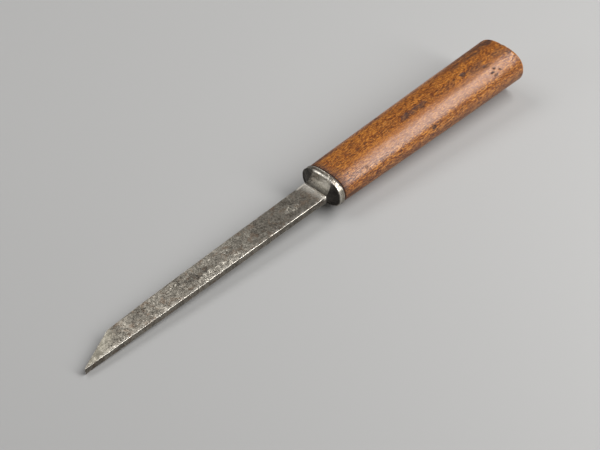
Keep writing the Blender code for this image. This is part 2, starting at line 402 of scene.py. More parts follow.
def blade_relief(points, facing):
    """How far the forged and worn blade lies below its true planes, and its fields."""
    x, y, z = points.T
    weld = at_weld(x, y)
    cheek = np.maximum(ease(np.abs(facing[:, 2]), *SIDEWAYS), weld)
    arris = ease(np.abs(facing[:, 1] * facing[:, 2]), *CORNERED) * (1 - weld)
    # the flat back's narrow face; its darkening below is painted shade
    low = ease(-facing[:, 1], *SIDEWAYS)
    upper = cheek * ease(z, 0.0, 1.0)
    ground = ground_area(x, y)
    smooth = np.maximum(ground, ease(x, *ROOT_SMOOTH))
    blotched = zone(x, *BLOTCHED) * ease(y, 8.0, 5.0) * upper
    pitted = np.maximum(0.5 + 0.5 * ease(cloud(points, *PITTED_AREAS), -0.1, 0.3), blotched)
    pitted *= (1 - 0.9 * smooth) * cheek
    hammered = HAMMER_DEPTH * cloud(points, *HAMMER_MARKS)
    hammered = hammered + DIMPLE_DEPTH * cloud(points, *DIMPLES) * (1 - 0.7 * smooth)
    pits = ease(cells(points, *BLADE_PITS), 0.36, 0.14)
    pits = pits * ease(cloud(points, *PIT_GROUPS), -0.1, 0.25) * pitted
    flakes = ease(cloud(points, *FLAKES), 0.02, 0.12) * pitted
    nicks = ease(cloud(points, *NICKS, (1.0, 0.1, 0.1)), 0.3, 0.6) * arris
    knob = np.exp(-(((x - BLADE_END + 1.0) / KNOB_SIZE[0]) ** 2) - (y / KNOB_SIZE[1]) ** 2)
    knob = knob * ease(z, 0.0, 1.0)
    depth = SAFE_INSET + BLADE_ROOM + hammered + PIT_DEPTH * pits + FLAKE_DEPTH * flakes
    depth = depth + NICK_DEPTH * nicks - KNOB_RISE * knob
    # painted highlight: the cheek brightens towards the lip, more so towards the spine
    lip = ease(x, BLADE_END - 7.0, BLADE_END - 1.0) * between(0.35, 0.7, ease(y, 3.0, 12.0))
    # painted highlight: a glint along the spine's corner just before the bolster
    glint = zone(x, BLADE_END - 8.0, BLADE_END, 1.0) * ease(y, 15.5, 16.8)
    rubbed = ease(y, 2.4, 0.6) * cheek * ease(cloud(points, *RUBS), -0.05, 0.15)
    pale = 0.65 * patches_at(points, PALE_PATCHES) * upper
    dull = patches_at(points, DULL_PATCHES) * upper
    patchy = np.maximum.reduce((0.25 * ease(x, *PATCHY_BLADE), 0.85 * blotched, pale))
    bare_arris = arris * (1 - 0.6 * nicks)
    # wear also carries the painted highlights of lip and glint, grime the painted shade of the flat back's
    # face
    fields = {
        "wear_and_highlight": np.maximum.reduce((bare_arris, lip * cheek, glint, 0.9 * knob, 0.45 * rubbed)),
        "grime_and_shade": 0.8 * pits + 0.3 * flakes * (1 - arris) + 0.5 * low + 0.12 * weld + 0.3 * dull,
        "worn": patchy * (1 - ground),
        "ground": ground * cheek,
    }
    return np.maximum(depth, -LIP_RISE), fields


def in_rows(sections):
    rings = np.array([ring for ring, _ in sections])
    facing = np.array([face for _, face in sections])
    return rings, facing


def iron_start():
    """Where the bevel leaves the laid steel and reaches the iron."""
    climb = (STEEL_DEPTH + 2 * WELD_GAP - HONE_DEPTH) / (HEEL_DEPTH - HONE_DEPTH)
    return between(HONE_LENGTH, BEVEL_LENGTH, climb)


def iron_blade_sections():
    sections = []
    for x in np.linspace(iron_start(), BLADE_END, IRON_STATIONS):
        weld = float(weld_depth(x))
        low = weld + WELD_GAP * float(ease(weld, 0.0, 0.2))
        back_radius = between(ARRIS_RADIUS, WELD_RADIUS, float(ease(weld, 0.0, 0.3)))
        top_radius = between(BEVEL_RADIUS, ARRIS_RADIUS, float(ease(x, BEVEL_LENGTH - 1, BEVEL_LENGTH + 3)))
        climb = max(0.0, 1 - (BLADE_END - x) / LIP_LENGTH)
        rise = LIP_RISE * (climb**LIP_POWER - 0.5 * float(ease(x, BLADE_END - LIP_FALL, BLADE_END)))
        sections.append(blade_section(x, low, blade_depth(x), back_radius, top_radius, IRON_COUNTS, rise))
    return in_rows(sections)


def steel_sections():
    sections = []
    for x in np.linspace(0.0, STEEL_LENGTH - SCARF_TIP, STEEL_STATIONS):
        weld = float(weld_depth(x))
        high = min(blade_depth(x), weld)
        top_radius = BEVEL_RADIUS if blade_depth(x) < weld else WELD_RADIUS
        sections.append(blade_section(x, 0.0, high, ARRIS_RADIUS, top_radius, STEEL_COUNTS))
    return in_rows(sections)


def sunk(rings, facing, depth):
    return rings - facing * depth.reshape(rings.shape[:2])[..., None]


def sunk_blade(rings, facing, depth):
    """Sink the blade's surface, but leave the two faces of the weld where they meet."""
    points = rings.reshape(-1, 3)
    x, y, z = points.T
    squeezed = points.copy()
    squeezed[:, 2] -= z / cheek_height(x, y) * depth
    weld = at_weld(x, y)[:, None]
    return between(points - facing.reshape(-1, 3) * depth[:, None], squeezed, weld).reshape(rings.shape)


# ---------------------------------------------------------------- bolster and tang


def rim_angles():
    """Angles round the rim for the columns of the blade's ring, so that its corners become hips."""
    cheek, back, spine = IRON_COUNTS
    counts = np.array((cheek, back, cheek, spine)) - 1
    sides = [np.linspace(*ends, count, endpoint=False) for *ends, count in zip(HIPS, HIPS[1:], counts)]
    return np.concatenate(sides)


def flattened(ring, angles):
    """The ring with each side between two hips pulled part of the way to a straight line."""
    flat = ring.copy()
    for start, end, share in zip(HIPS, HIPS[1:], SIDE_FLATNESS):
        side = np.flatnonzero((angles >= start - 1e-9) & (angles < end - 1e-9))
        first, last = ring[side[0]], ring[(side[-1] + 1) % len(ring)]
        along = (np.arange(len(side)) / len(side))[:, None]
        flat[side] = between(ring[side], between(first, last, along), share)
    return flat


def bolster_rings(blade_end):
    """Neck, hollow flare with hips, rounded rim, flat back face and tang."""
    angles = rim_angles()
    middle = np.array((0.0, ROOT_DEPTH / 2, 0.0))
    shrink = np.array((1.0, 1 - 2 * NECK_INSET / ROOT_DEPTH, NECK_HEIGHT_SHARE * (1 - SPINE_NARROWING / 2)))
    neck = middle + (blade_end - middle) * shrink
    lip = oval_ring(RIM_FRONT, AXIS_OFFSET, RIM_HALF - RIM_ROUNDING, OVAL_POWER, angles)
    lip = flattened(lip, angles)
    full_forward = math.sin(FLARE_END) - math.sin(FLARE_START)
    full_climb = math.cos(FLARE_START) - math.cos(FLARE_END)
    rings = []
    for step in range(FLARE_STEPS + 1):
        slope = between(FLARE_START, FLARE_END, step / FLARE_STEPS)
        forward = (math.sin(slope) - math.sin(FLARE_START)) / full_forward
        climb = (math.cos(FLARE_START) - math.cos(slope)) / full_climb
        ring = between(neck, lip, climb)
        ring[:, 0] = between(BLADE_END + CREASE_WIDTH, RIM_FRONT, forward)
        rings.append(ring)

    def add(x, half, power=OVAL_POWER):
        rings.append(oval_ring(x, AXIS_OFFSET, half, power, angles))

    for x, inset in rounding(RIM_FRONT, 1, RIM_ROUNDING, RIM_EDGE_STEPS)[1:]:
        add(x, RIM_HALF - inset)
    for x in np.linspace(RIM_FRONT + RIM_ROUNDING, RIM_BACK - RIM_ROUNDING, RIM_RINGS)[1:-1]:
        add(x, RIM_HALF)
    for x, inset in rounding(RIM_BACK, -1, RIM_ROUNDING, RIM_BACK_STEPS)[::-1]:
        add(x, RIM_HALF - inset)
    for share in np.linspace(0, 1, BACK_FACE_RINGS)[1:]:
        half = between(RIM_HALF - RIM_ROUNDING, TANG_ROOT, share)
        add(RIM_BACK, half, between(OVAL_POWER, TANG_POWER, share))
    for share in np.linspace(0, 1, TANG_RINGS)[1:]:
        add(RIM_BACK + TANG_LENGTH * share, between(TANG_ROOT, TANG_TIP, share), TANG_POWER)
    return np.array(rings)


def rounding(x_face, inward, radius, steps):
    """Places and insets round an oval's edge, from its end face onto its full size."""
    places = []
    for step in range(steps + 1):
        angle = math.pi / 2 * step / steps
        places.append((x_face + inward * radius * (1 - math.cos(angle)), radius * (1 - math.sin(angle))))
    return places


def surface_facing(rings):
    """Outward unit vectors of a closed tube of rings."""
    around = np.roll(rings, -1, axis=1) - np.roll(rings, 1, axis=1)
    along = np.gradient(rings, axis=0)
    facing = np.cross(around, along)
    size = np.linalg.norm(facing, axis=2)
    return facing / np.maximum(size, 1e-9)[..., None]


def rim_flats(y, z):
    """The flats that dressing the rim with a file left round it, as depths below its oval."""
    turn = np.arctan2(z / RIM_HALF[1], (y - AXIS_OFFSET) / RIM_HALF[0]) / math.tau
    turn = turn + 0.018 * np.sin(math.tau * 3 * turn + 1.0) + 0.011 * np.sin(math.tau * 7 * turn)
    across = (turn * RIM_FLATS) % 1.0
    return FLAT_DEPTH * 4 * across * (1 - across)


def side_share(side, fade=0.05):
    """1 for the columns of one side between two hips, fading near them."""
    angles = rim_angles()
    start, end = HIPS[side], HIPS[side + 1]
    return ease(np.minimum(angles - start, end - angles), -0.4 * fade, fade)


def chamfered(rings):
    """The rim's front edge worn back along the side that faces up."""
    back = rings.copy()
    behind = np.clip(1 - (rings[FLARE_STEPS + 1 :, :, 0] - RIM_FRONT) / CHAMFER_REACH, 0, 1)
    back[FLARE_STEPS + 1 :, :, 0] += CHAMFER * side_share(TOP_SIDE, 0.3) * behind
    return back


# Patterns, as on the blade, one of them stretched
FORGED = (7.0, 2, 20.0)
LUMPS = (2.4, 2, 60.0)
FILE_MARKS = (0.9, 2, 33.0, (0.5, 1.6, 0.3))
RIM_PIT_GROUPS = (5.0, 2, 31.0)
SMEARS = (3.0, 2, 52.0)
RIM_PITS = (1.4, 12.0)

FORGED_DEPTH = 0.10
LUMP_DEPTH = 0.05
FILE_MARK_DEPTH = 0.02
RIM_PIT_DEPTH = 0.08


def bolster_relief(rings, facing):
    """Filed and forged unevenness of the bolster, and its fields."""
    x, y, z = rings[..., 0], rings[..., 1], rings[..., 2]
    points = rings.reshape(-1, 3)

    def rough(pattern):
        return cloud(points, *pattern).reshape(x.shape)

    top_side, near_side = side_share(TOP_SIDE), side_share(NEAR_SIDE)
    far_side = side_share(FAR_SIDE, 0.2)
    hollow = (np.arange(len(rings)) <= FLARE_STEPS)[:, None] * np.ones(x.shape)
    outer = ease(np.abs(facing[..., 0]), 0.7, 0.3) * ease(x, RIM_FRONT - 0.1, RIM_FRONT + 0.3)
    # how far out towards the rim's oval a point is, from 0 at the middle to 1
    out = (np.abs(y - AXIS_OFFSET) / RIM_HALF[0]) ** OVAL_POWER + (np.abs(z) / RIM_HALF[1]) ** OVAL_POWER
    out = out ** (1 / OVAL_POWER)

    forged = FORGED_DEPTH * rough(FORGED) + LUMP_DEPTH * rough(LUMPS)
    forged = forged + FILE_MARK_DEPTH * rough(FILE_MARKS)
    pits = ease(cells(points, *RIM_PITS).reshape(x.shape), 0.40, 0.12)
    pits = pits * ease(rough(RIM_PIT_GROUPS), 0.0, 0.4)
    shown = ease(x, RIM_BACK - 0.1, RIM_BACK - 0.6)
    depth = shown * (BOLSTER_ROOM + forged + RIM_PIT_DEPTH * pits + outer * rim_flats(y, z)) + SAFE_INSET

    before_rim = ease(x, RIM_FRONT + 0.8, RIM_FRONT + 0.4)
    front_edge = ease(out, 0.955, 0.98) * before_rim * (1 - far_side)
    streak = top_side * ease(out, 0.85, 0.93)
    streak = streak * ease(x, RIM_FRONT + CHAMFER + 0.6, RIM_FRONT + CHAMFER + 0.2)
    # painted highlight on the hollow's upper side, towards the flat back
    shine = hollow * zone(y, 1.0, 8.0, 3.0) * ease(z, 3.0, 8.0)
    near_rim = outer * ease(y, AXIS_OFFSET - 5.0, AXIS_OFFSET - 10.0)
    back_edge = ease(np.abs(x - RIM_BACK), 0.5, 0.1) * ease(out, 0.82, 0.96)
    crease = ease(x, BLADE_END + 2.8, BLADE_END + 0.2)
    # painted shade: the hollow's near side and the front of its far side are darkened as if in shade
    dark = np.maximum(near_side * hollow, 0.85 * far_side * before_rim) * (0.9 + 0.3 * rough(SMEARS))
    # grime takes in the painted shade of dark, and wear the painted highlight of shine
    fields = {
        "wear_and_highlight": np.maximum.reduce((0.8 * front_edge, 0.6 * back_edge, streak, 0.45 * shine)),
        "grime_and_shade": np.maximum.reduce((0.7 * pits, 0.6 * crease * (1 - shine), dark, 0.32 * near_rim)),
        "worn": 0.4 * outer * ease(z, -4.0, 4.0) * ease(y, AXIS_OFFSET + 8.0, AXIS_OFFSET),
        "ground": 0.8 * hollow * (1 - near_side) * (1 - far_side) * ease(y, 17.0, 6.0),
    }
    return np.maximum(depth, 0.0), {label: values.ravel() for label, values in fields.items()}


def slant_crease(rings):
    """Shift the crease towards the edge on the flat back's side, and what lies round it."""
    x, y = rings[..., 0], rings[..., 1]
    near = 1 - np.clip(y / ROOT_DEPTH, 0, 1)
    share = ease(x, BLADE_END - SLANT_REACH, BLADE_END) * ease(x, RIM_FRONT, BLADE_END)
    moved = rings.copy()
    moved[..., 0] -= CREASE_SLANT * near * share
    return moved


def joined(first, second):
    return {name: np.concatenate((first[name], second[name])) for name in first}


def iron_forging(look):
    blade, facing = iron_blade_sections()
    depth, fields = blade_relief(blade.reshape(-1, 3), facing.reshape(-1, 3))
    rest = chamfered(bolster_rings(blade[-1]))
    rest_facing = surface_facing(rest)
    rest_depth, rest_fields = bolster_relief(rest, rest_facing)
    rings = np.concatenate((sunk_blade(blade, facing, depth), sunk(rest, rest_facing, rest_depth)))
    fields = joined(fields, rest_fields)
    make_piece("forged_iron", slant_crease(rings), look, "iron_forging", fields, 40)


def laid_steel(look):
    rings, facing = steel_sections()
    depth, fields = blade_relief(rings.reshape(-1, 3), facing.reshape(-1, 3))
    rings = sunk_blade(rings, facing, depth)
    make_piece("steel_edge_strip", rings, look, "laid_steel", fields)


# ---------------------------------------------------------------- handle and washer

BRUISES = (
    # place along, degrees round from the spine's side, half length, half width, depth
    (302.5, 94, 2.6, 1.7, 0.30),
    (261.0, 164, 1.8, 1.5, 0.40),
    (318.0, 115, 1.6, 1.1, 0.22),
    (318.6, 140, 1.5, 0.9, 0.26),
    (321.5, 134, 1.0, 0.8, 0.26),
    (320.0, 148, 1.7, 0.8, 0.24),
    (324.5, 143, 1.1, 0.9, 0.20),
    (249.5, 99, 2.3, 2.0, 0.19),
    (252.8, 94, 2.4, 1.9, 0.22),
    (256.5, 98, 2.8, 2.3, 0.16),
    (260.4, 92, 2.2, 1.7, 0.21),
    (263.8, 97, 2.6, 2.4, 0.20),
    (267.6, 93, 2.1, 1.8, 0.17),
    (231.0, 172, 2.2, 0.8, 0.18),
    (206.0, 151, 1.6, 1.0, 0.16),
    (275.0, 250, 3.0, 1.4, 0.25),
    (225.0, 300, 2.4, 1.6, 0.22),
    (310.0, 20, 3.4, 1.2, 0.20),
    (240.0, 35, 2.0, 1.2, 0.16),
)


def tang_half(x):
    return between(TANG_ROOT, TANG_TIP, (x - RIM_BACK) / TANG_LENGTH)


def handle_section(x):
    """Middle and half sizes of the handle's oval at x."""
    share = (x - HANDLE_FRONT) / (BUTT_END - HANDLE_FRONT)
    half = between(FRONT_HALF, BUTT_HALF, share) + HANDLE_SWELL * 4 * share * (1 - share)
    return AXIS_OFFSET + HANDLE_LEAN * share, half


def handle_rings():
    """From the end of the tang's hole out to its mouth, over the front, along and round the butt."""
    angles = turn_directions(BUTT_HALF, OVAL_POWER, HANDLE_COLUMNS)
    rings = []

    def add(x, middle, half, power=OVAL_POWER):
        rings.append(oval_ring(x, middle, half, power, angles))

    add(HOLE_END, AXIS_OFFSET, (tang_half(HOLE_END) + TANG_CLEARANCE) * HOLE_TIP_SHARE, TANG_POWER)
    for x in np.linspace(HOLE_END, HANDLE_FRONT, HOLE_RINGS - 1):
        add(x, AXIS_OFFSET, tang_half(x) + TANG_CLEARANCE, TANG_POWER)
    mouth = tang_half(HANDLE_FRONT) + TANG_CLEARANCE
    for share in np.linspace(0, 1, FRONT_FACE_RINGS)[1:-1]:
        half = between(mouth, FRONT_HALF - FRONT_ROUNDING, share)
        add(HANDLE_FRONT, AXIS_OFFSET, half, between(TANG_POWER, OVAL_POWER, share))
    for x, inset in rounding(HANDLE_FRONT, 1, FRONT_ROUNDING, FRONT_EDGE_STEPS):
        middle, half = handle_section(x)
        add(x, middle, half - inset)
    sides = np.linspace(HANDLE_FRONT + FRONT_ROUNDING, BUTT_END - BUTT_ROUNDING, HANDLE_STATIONS)
    for x in sides[1:-1]:
        add(x, *handle_section(x))
    for x, inset in rounding(BUTT_END, -1, BUTT_ROUNDING, BUTT_EDGE_STEPS)[::-1]:
        middle, half = handle_section(x)
        add(x, middle, half - inset)
    middle, half = handle_section(BUTT_END)
    for share in np.linspace(1, BUTT_TIP_SHARE, BUTT_FACE_RINGS)[1:]:
        add(BUTT_END, middle, (half - BUTT_ROUNDING) * share)
    return np.array(rings)


# Patterns of fractal noise, most of them drawn out along the handle: size, octaves, shift, stretch
SCRAPED = (11.0, 2, 5.0, (0.35, 1, 1))
WAVY = (3.0, 2, 45.0, (0.5, 1, 1))
RAISED_GRAIN = (0.9, 2, 25.0, (0.12, 1, 1))
CHIPS = (4.0, 3, 70.0)
HAND_WEAR = (10.0, 2, 77.0, (0.5, 1, 1))
BAND_EDGES = (5.0, 3, 8.0, (0.3, 1, 1))
PALM_EDGES = (4.0, 3, 19.0, (0.3, 1, 1))
BRUISE_EDGES = (1.6, 3, 15.0)

SCRAPED_DEPTH = 0.10
WAVY_DEPTH = 0.03
GRAIN_DEPTH = 0.02
CHIP_DEPTH = 0.3
FULL_STAIN_DEPTH = 0.25  # dents as deep as this are stained fully

# Where dirt, rubbed patches and the polished band with its painted highlight lie: places along the handle,
# and degrees round it from the spine's side.
# Two numbers are where it is absent and where it is full, three its two ends and its fade.
GRIP_START = (195.0, 215.0)
SEAT_DIRT = (184.0, 192.0, 2.0)
SEAT_TURN = (100.0, 133.0, 6.0)
BAND_START = (296.0, 312.0)
BAND_TURN = (36.0, 62.0, 7.0)
PALM_START = (276.0, 296.0)
PALM_TURN = (90.0, 126.0, 8.0)
SMOOTH_START = (190.0, 215.0)
SMOOTH_END = (338.0, 325.0)
SMOOTH_TURN = (110.0, 150.0, 9.0)


def turn_degrees(y, z):
    """Degrees round the handle's axis, from the spine's side towards the upper cheek's."""
    return np.degrees(np.arctan2(z, y - AXIS_OFFSET))


def bruise_depth(points):
    """Dents that knocks have left in the wood, and how dark each spot is."""
    x, y, z = points.T
    turn = turn_degrees(y, z)
    ragged = 1 + 0.35 * cloud(points, *BRUISE_EDGES)
    depth = np.zeros(len(points))
    stain = np.zeros(len(points))
    for place, angle, half_length, half_width, sink in BRUISES:
        round_it = np.radians((turn - angle + 180) % 360 - 180) * np.hypot(y - AXIS_OFFSET, z)
        away = np.hypot((x - place) / half_length, round_it / half_width) * ragged
        depth = np.maximum(depth, sink * ease(away, 1.15, 0.2))
        stain = np.maximum(stain, ease(away, 1.25, 0.6) * min(1.0, sink / FULL_STAIN_DEPTH))
    return depth, stain


def handle_dirt_and_shade(points):
    """How dark the handle is apart from its dents and chips: dirt in patches, darker at its front end, and
    painted shade along its far edge and its lower near side.
    """
    x, y, z = points.T
    turn = turn_degrees(y, z)
    front = ease(x, HANDLE_FRONT + 6.0, HANDLE_FRONT + 0.5)
    # painted shade: the far edge is darker near both ends of the handle
    far = ease(y, AXIS_OFFSET + 7.0, AXIS_OFFSET + 14.0) * ease(z, -4.0, 2.0)
    far *= np.maximum(ease(x, 290.0, 325.0), 1.4 * ease(x, 212.0, 188.0))
    # painted shade: the lower near side is darker, most of all near the bolster
    low = ease(z, 3.0, -1.0) * ease(y, AXIS_OFFSET, AXIS_OFFSET - 10.0)
    low = low * between(0.4, 0.8, ease(x, 212.0, 190.0))
    seat = zone(x, *SEAT_DIRT) * zone(turn, *SEAT_TURN)
    band = ease(x, *BAND_START) * zone(turn, *BAND_TURN) * ease(cloud(points, *BAND_EDGES), -0.3, 0.2)
    palm = ease(x, *PALM_START) * zone(turn, *PALM_TURN) * ease(cloud(points, *PALM_EDGES), -0.4, 0.2)
    return np.maximum.reduce((0.7 * front, 0.6 * far, low, 0.95 * band, 0.45 * seat, 0.5 * palm))


def handle_relief(points, facing):
    """How far the worn wood lies below its true oval, and its fields."""
    x, y, z = points.T
    end = ease(x, BUTT_END - 5.0, BUTT_END - 0.5)
    edge = end * ease(facing[:, 0], 0.1, 0.5) * ease(facing[:, 0], 0.99, 0.8)
    chips = ease(cloud(points, *CHIPS), 0.12, 0.4) * end
    scraped = SCRAPED_DEPTH * cloud(points, *SCRAPED) + WAVY_DEPTH * cloud(points, *WAVY)
    grain = GRAIN_DEPTH * cloud(points, *RAISED_GRAIN)
    bruises, stain = bruise_depth(points)
    shown = ease(x, HANDLE_FRONT - 0.01, HANDLE_FRONT + 0.3)
    depth = SAFE_INSET + shown * (HANDLE_ROOM + scraped + grain + CHIP_DEPTH * chips + bruises)
    hand = ease(cloud(points, *HAND_WEAR), 0.0, 0.4)
    grip = ease(y, AXIS_OFFSET - 3.0, AXIS_OFFSET - 10.0) * ease(x, *GRIP_START)
    # the band along the top that the hand has polished and where the sheen falls; its lighter colour is
    # partly a painted highlight
    polished = zone(turn_degrees(y, z), *SMOOTH_TURN) * ease(x, *SMOOTH_START)
    fields = {
        "wear_and_highlight": edge * (1 - chips),
        "grime_and_shade": np.maximum.reduce((stain, 0.6 * chips, handle_dirt_and_shade(points))),
        "worn": np.maximum(0.35 * hand, grip),
        "cut": end * ease(facing[:, 0], 0.75, 0.98),
        "smooth": polished * (1 - stain) * ease(x, *SMOOTH_END),
    }
    return np.maximum(depth, 0.02), fields


def handle(look):
    rings = handle_rings()
    facing = surface_facing(rings)
    depth, fields = handle_relief(rings.reshape(-1, 3), facing.reshape(-1, 3))
    depth = depth.reshape(rings.shape[:2])
    depth[:HOLE_RINGS] = 0.0  # the hole stays true
    make_piece("beech_handle", sunk(rings, facing, depth), look, "handle", fields)


LEATHER_CREASES = (1.8, 2)
LEATHER_CREASE_DEPTH = 0.10


def washer(look):
    """Compressed leather filling the seam between the rim and the wood, as a closed loop of rings."""
    angles = turn_directions(WASHER_HALF, OVAL_POWER, WASHER_COLUMNS)
    front = RIM_BACK + SEAM_PLAY
    back = HANDLE_FRONT - SEAM_PLAY
    outer = WASHER_HALF - WASHER_INSET
    hole_half = tang_half(WASHER_FRONT) + TANG_CLEARANCE
    inner = (hole_half, TANG_POWER)
    middle = (between(hole_half, outer, 0.5), 4.0)
    rings = [oval_ring(front, AXIS_OFFSET, *shape, angles) for shape in (inner, middle)]
    for angle in np.linspace(0, math.pi, WASHER_EDGE_RINGS):
        x = between(front, back, (1 - math.cos(angle)) / 2)
        half = outer - WASHER_BULGE * (1 - math.sin(angle))
        rings.append(oval_ring(x, AXIS_OFFSET, half, OVAL_POWER, angles))
    rings += [oval_ring(back, AXIS_OFFSET, *shape, angles) for shape in (middle, inner)]
    rings = np.array(rings)
    facing = surface_facing(rings)
    depth = WASHER_ROOM + LEATHER_CREASE_DEPTH * cloud(rings.reshape(-1, 3), *LEATHER_CREASES)
    depth = np.maximum(depth, 0.0).reshape(rings.shape[:2])
    depth[:2] = depth[-2:] = 0.0
    rings = sunk(rings, facing, depth)
    make_piece("leather_seat", rings, look, "leather_washer", {}, looped=True)


# ---------------------------------------------------------------- materials


# Colours, as linear red, green and blue
IRON_TONES = ((0.12, 0.105, 0.085), (0.27, 0.245, 0.205), (0.48, 0.44, 0.37))
STEEL_TONES = ((0.14, 0.125, 0.10), (0.30, 0.27, 0.225), (0.50, 0.46, 0.39))
BROWN_OXIDE = (0.24, 0.155, 0.10)
PALE_ISLAND = (0.80, 0.74, 0.63)
ISLAND_OUTLINE = (0.085, 0.075, 0.06)
GROUND_DARK = (0.25, 0.23, 0.185)
GROUND_LIGHT = (0.39, 0.36, 0.295)
METAL_DIRT_AND_SHADE = (0.035, 0.03, 0.025)
BARE_METAL_AND_HIGHLIGHT = (0.88, 0.83, 0.74)

BEECH_TONES = ((0.080, 0.017, 0.005), (0.34, 0.096, 0.013), (0.62, 0.240, 0.038))
BEECH_BLOTCH = (0.19, 0.052, 0.010)
BEECH_RAY = (0.10, 0.028, 0.007)
BEECH_PORE = (0.04, 0.014, 0.006)
LIGHT_FLECK = (0.80, 0.36, 0.09)
DARK_FLECK = (0.13, 0.030, 0.008)
POLISHED_BEECH_AND_HIGHLIGHT = (0.42, 0.150, 0.035)
END_DARK = (0.12, 0.046, 0.016)
END_LIGHT = (0.30, 0.125, 0.038)
WOOD_DIRT_AND_SHADE = (0.046, 0.018, 0.013)
RUBBED_BEECH = (0.52, 0.21, 0.06)
PITH = (0.0, 24.0, 19.0)  # shift that puts the tree's middle beside the handle

LEATHER_DARK = (0.012, 0.007, 0.005)
LEATHER_LIGHT = (0.06, 0.026, 0.016)


class Look:
    """A material, whose nodes are added by short calls."""

    def __init__(self, name):
        self.material = bpy.data.materials.new(name)
        self.material.use_nodes = True
        self.tree = self.material.node_tree
        self.shader = self.tree.nodes["Principled BSDF"]

    def add(self, kind, inputs, **settings):
        """A node whose inputs are linked to sockets or set to values."""
        node = self.tree.nodes.new(kind)
        for key, value in settings.items():
            setattr(node, key, value)
        for key, value in inputs.items():
            if isinstance(value, bpy.types.NodeSocket):
                self.tree.links.new(value, node.inputs[key])
            else:
                node.inputs[key].default_value = value
        return node

    def field(self, name, output="Fac"):
        """The value that the vertices keep under a name."""
        return self.add("ShaderNodeAttribute", {}, attribute_name=name).outputs[output]

    def work_out(self, operation, a, b):
        return self.add("ShaderNodeMath", {0: a, 1: b}, operation=operation).outputs[0]

    def times(self, a, b):
        return self.work_out("MULTIPLY", a, b)

    def total(self, *parts):
        """The sum of values, each times its share."""
        result = self.times(*parts[0])
        for part in parts[1:]:
            result = self.work_out("ADD", result, self.times(*part))
        return result

    def squeeze(self, at, scale, turn=(0.0, 0.0, 0.0)):
        return self.add("ShaderNodeMapping", {"Vector": at, "Scale": scale, "Rotation": turn}).outputs[0]

    def drawn_out(self, at, share):
        """Places at which a pattern is 1 / share times as long along the tool."""
        return self.squeeze(at, (share, 1.0, 1.0))

    def noise(self, at, size, detail=3.0, roughness=0.55, distortion=0.0):
        """Fractal noise with features about size millimetres across."""
        inputs = {"Vector": at, "Scale": 1 / size, "Detail": detail}
        inputs |= {"Roughness": roughness, "Distortion": distortion}
        return self.add("ShaderNodeTexNoise", inputs).outputs["Fac"]

    def cells(self, at, size):
        """Distance to the nearest of scattered points, in cell sizes."""
        return self.add("ShaderNodeTexVoronoi", {"Vector": at, "Scale": 1 / size}).outputs["Distance"]

    def step(self, value, low, high, start=0.0, end=1.0):
        """Start below low, end above high, and smooth between them."""
        inputs = {"Value": value, "From Min": low, "From Max": high, "To Min": start, "To Max": end}
        return self.add("ShaderNodeMapRange", inputs, interpolation_type="SMOOTHSTEP").outputs[0]

    def blend(self, share, first, second):
        """The first colour where share is 0, the second where it is 1."""
        colours = [c if isinstance(c, bpy.types.NodeSocket) else (*c, 1.0) for c in (first, second)]
        inputs = {0: share, 6: colours[0], 7: colours[1]}
        return self.add("ShaderNodeMix", inputs, data_type="RGBA").outputs[2]

    def tinted(self, tone, edges, tones):
        """Three tones, from the darkest to the lightest, that meet in soft steps between the edges."""
        low, middle, high = edges
        colour = self.blend(self.step(tone, low, middle), *tones[:2])
        return self.blend(self.step(tone, middle, high), colour, tones[2])

    def bump(self, height, distance, strength, under=None):
        """A relief in which a height of 1 is distance millimetres, on top of the one under it."""
        inputs = {"Height": height, "Distance": distance * MM, "Strength": strength}
        if under is not None:
            inputs["Normal"] = under
        return self.add("ShaderNodeBump", inputs).outputs[0]

    def wire(self, **sockets):
        for name, value in sockets.items():
            self.tree.links.new(value, self.shader.inputs[name.replace("_", " ")])


def patina(look, at, tone, tones, worn):
    """Mottled grey-brown oxide, and where it has gone patchy, pale islands with dark outlines."""
    colour = look.tinted(tone, (0.43, 0.51, 0.61), tones)
    brown = look.step(look.noise(at, 3.6, 4.0, 0.6, 0.6), 0.52, 0.64, 0.0, 0.5)
    colour = look.blend(brown, colour, BROWN_OXIDE)
    spots = look.noise(at, 2.6, 2.5, 0.5, 1.0)
    islands = look.times(look.step(spots, 0.52, 0.55), look.step(worn, 0.2, 0.7))
    colour = look.blend(look.times(islands, 0.9), colour, PALE_ISLAND)
    outline = look.times(look.step(spots, 0.47, 0.51), look.step(spots, 0.54, 0.52))
    outline = look.times(outline, look.step(worn, 0.0, 0.7, 0.25, 0.95))
    return look.blend(outline, colour, ISLAND_OUTLINE)


